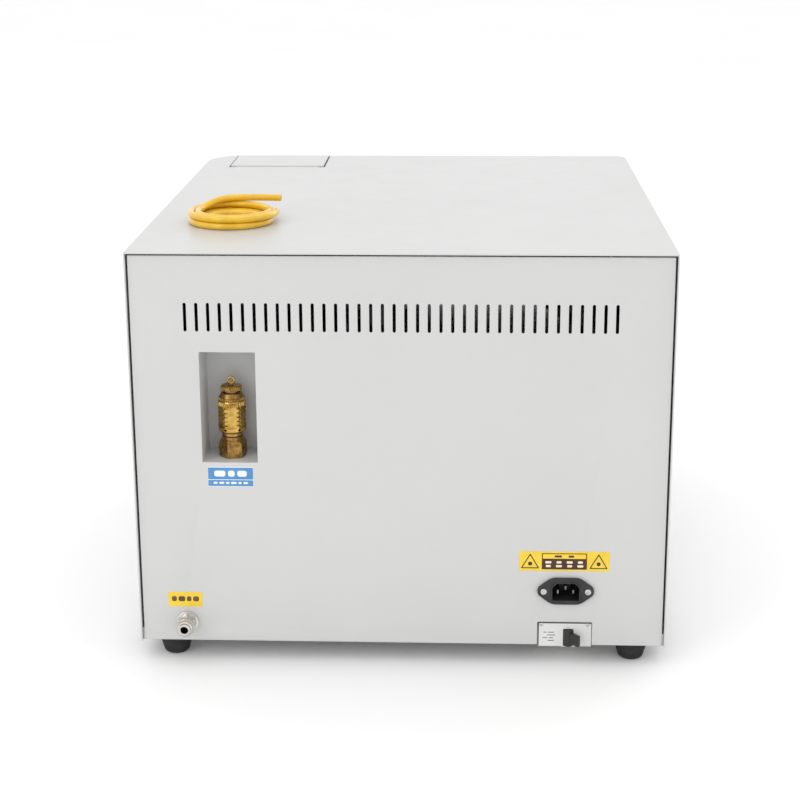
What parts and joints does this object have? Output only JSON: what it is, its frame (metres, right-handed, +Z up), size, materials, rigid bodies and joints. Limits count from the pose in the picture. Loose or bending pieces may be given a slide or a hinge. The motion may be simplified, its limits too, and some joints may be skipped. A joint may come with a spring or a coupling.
{
  "type": "benchtop autoclave",
  "caption": "Boxy benchtop steam autoclave with a swing door, round pressure chamber, tank hatch on top and a rear panel with slots, recessed relief valve, drain and mains inlet.",
  "frame": {"origin": "on the bench, under the middle of the machine", "axes": "+Z up, the door faces -Y, the rear panel faces +Y, +X is on the right seen from the door"},
  "size_m": [0.4836, 0.6, 0.4036],
  "materials": {
    "casing_paint": "semi-gloss powder coat",
    "galvanised_steel": "bright zinc plate",
    "screw_steel": "machined",
    "stainless_steel": "satin",
    "valve_brass": "turned",
    "nickel_plate": "nickel plate",
    "copper_pipe": "drawn copper",
    "black_plastic": "moulded",
    "foot_rubber": "matt",
    "breaker_grey": "moulded",
    "label_blue": "printed film",
    "label_yellow": "printed film",
    "hose_yellow": "extruded",
    "hose_clear": "silicone tube",
    "insulation_felt": "needled felt",
    "heater_jacket": "rolled foil",
    "tank_plastic": "translucent",
    "pump_metal": "matt",
    "circuit_board": "solder mask",
    "silicone": "matt",
    "handle_plastic": "moulded",
    "display_glass": "tinted",
    "button_plastic": "moulded"
  },
  "bodies": {
    "root": {"base_pan": "galvanised_steel", "top_cover": "casing_paint", "rear_panel": "casing_paint", "front_fascia": "casing_paint", "valve_pocket": "casing_paint", "foot_1": "foot_rubber", "foot_2": "foot_rubber", "foot_3": "foot_rubber", "foot_4": "foot_rubber", "casing_screws": "screw_steel", "hatch_hinge_pin": "screw_steel", "hatch_brackets": "galvanised_steel", "valve_base": "valve_brass", "valve_body": "valve_brass", "valve_cap": "valve_brass", "valve_spring": "screw_steel", "valve_label": "label_blue", "drain_outlet": "nickel_plate", "drain_pipe": "hose_clear", "drain_label": "label_yellow", "mains_inlet": "black_plastic", "inlet_blades": "nickel_plate", "fitting_screws": "screw_steel", "hazard_label": "label_yellow", "breaker_body": "breaker_grey", "chamber": "stainless_steel", "chamber_insulation": "insulation_felt", "band_heater": "heater_jacket", "chamber_cradles": "galvanised_steel", "tray_rack": "stainless_steel", "tray_1": "stainless_steel", "tray_2": "stainless_steel", "tray_3": "stainless_steel", "water_tank": "tank_plastic", "water_pump": "pump_metal", "solenoid_valves": "valve_brass", "steam_pipe": "copper_pipe", "fan_frame": "black_plastic", "control_board": "circuit_board", "lock_keepers": "galvanised_steel", "hinge_brackets": "galvanised_steel", "hinge_pins": "screw_steel", "display_window": "display_glass", "hose_coil": "hose_yellow", "hose_tail": "hose_yellow"},
    "door": {"door_cover": "casing_paint", "door_plate": "stainless_steel", "door_frame": "galvanised_steel", "door_gasket": "silicone"},
    "handle": {"door_handle": "handle_plastic", "handle_spindle": "screw_steel"},
    "upper_bolt": {"upper_lock_bolt": "screw_steel"},
    "lower_bolt": {"lower_lock_bolt": "screw_steel"},
    "hatch": {"tank_hatch": "casing_paint"},
    "toggle": {"breaker_toggle": "black_plastic"},
    "fan": {"fan_rotor": "black_plastic"},
    "relief_stem": {"valve_stem": "valve_brass"},
    "key_1": {"button_1": "button_plastic"},
    "key_2": {"button_2": "button_plastic"},
    "key_3": {"button_3": "button_plastic"}
  },
  "joints": [
    {"name": "door_swing", "type": "hinge", "parent": "root", "child": "door", "pos_m": [-0.222, -0.262, 0.212], "axis": [0, 0, -1], "range_deg": [0, 110]},
    {"name": "handle_turn", "type": "hinge", "parent": "door", "child": "handle", "pos_m": [-0.059, -0.29, 0.212], "axis": [0, 1, 0], "range_deg": [0, 90]},
    {"name": "upper_bolt_slide", "type": "slide", "parent": "door", "child": "upper_bolt", "axis": [0, 0, 1], "range_m": [0, 0.0125]},
    {"name": "lower_bolt_slide", "type": "slide", "parent": "door", "child": "lower_bolt", "axis": [0, 0, -1], "range_m": [0, 0.0125]},
    {"name": "hatch_swing", "type": "hinge", "parent": "root", "child": "hatch", "pos_m": [0.1565, -0.1702, 0.3818], "axis": [-1, 0, 0], "range_deg": [0, 95]},
    {"name": "toggle_throw", "type": "hinge", "parent": "root", "child": "toggle", "pos_m": [-0.1522, 0.2781, 0.0254], "axis": [0, 0, 1], "range_deg": [-90, 0]},
    {"name": "fan_spin", "type": "hinge", "parent": "root", "child": "fan", "pos_m": [0.02, 0.262, 0.326], "axis": [0, 1, 0], "continuous": true},
    {"name": "relief_pull", "type": "slide", "parent": "root", "child": "relief_stem", "axis": [0, 0, 1], "range_m": [0, 0.003], "stiffness_N_per_m": 2000, "springref_m": -0.003, "deforming": ["valve_spring"]},
    {"name": "key_1_press", "type": "slide", "parent": "root", "child": "key_1", "axis": [0, 1, 0], "range_m": [0, 0.0015], "stiffness_N_per_m": 600, "springref_m": -0.001},
    {"name": "key_2_press", "type": "slide", "parent": "root", "child": "key_2", "axis": [0, 1, 0], "range_m": [0, 0.0015], "stiffness_N_per_m": 600, "springref_m": -0.001},
    {"name": "key_3_press", "type": "slide", "parent": "root", "child": "key_3", "axis": [0, 1, 0], "range_m": [0, 0.0015], "stiffness_N_per_m": 600, "springref_m": -0.001}
  ],
  "couplings": [
    {"joint": "upper_bolt_slide", "follows": "handle_turn", "m_per_rad": 0.0079577},
    {"joint": "lower_bolt_slide", "follows": "handle_turn", "m_per_rad": 0.0079577}
  ]
}
